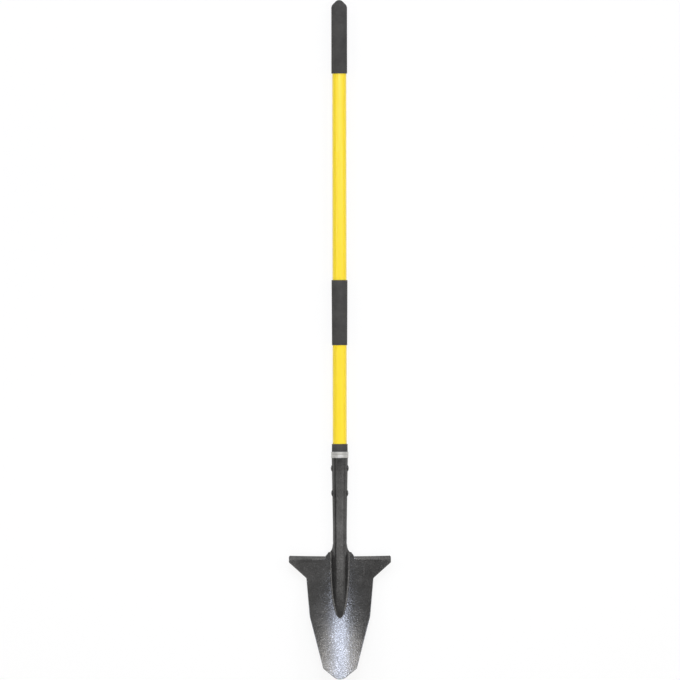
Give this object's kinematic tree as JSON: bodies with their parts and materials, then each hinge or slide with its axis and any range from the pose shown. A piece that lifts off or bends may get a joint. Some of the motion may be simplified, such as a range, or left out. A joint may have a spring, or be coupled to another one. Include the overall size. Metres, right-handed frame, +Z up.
{
  "type": "long-handled drain spade",
  "caption": "Narrow pointed drain spade with foot steps, a hollow frog and a riveted rolled socket on a long fibreglass handle with grips.",
  "frame": {"origin": "on the floor, under the middle of the spade's length and width, as it lies on its back", "axes": "+Y up the handle from the blade's tip, +Z up out of the digging face, +X to the right as seen from above"},
  "size_m": [0.229, 1.524, 0.0754],
  "materials": {
    "head_paint": "hammered powder coat",
    "fibreglass": "satin",
    "grip_rubber": "matt",
    "ring_plating": "plated",
    "hardwood": "bare",
    "foam": "cut"
  },
  "bodies": {
    "root": {"blade_head": "head_paint", "handle_tube": "fibreglass", "socket_plug": "hardwood", "foam_core": "foam", "upper_rivet": "head_paint", "lower_rivet": "head_paint", "socket_ring": "ring_plating", "collar": "grip_rubber", "mid_grip": "grip_rubber", "end_grip": "grip_rubber"}
  },
  "joints": []
}
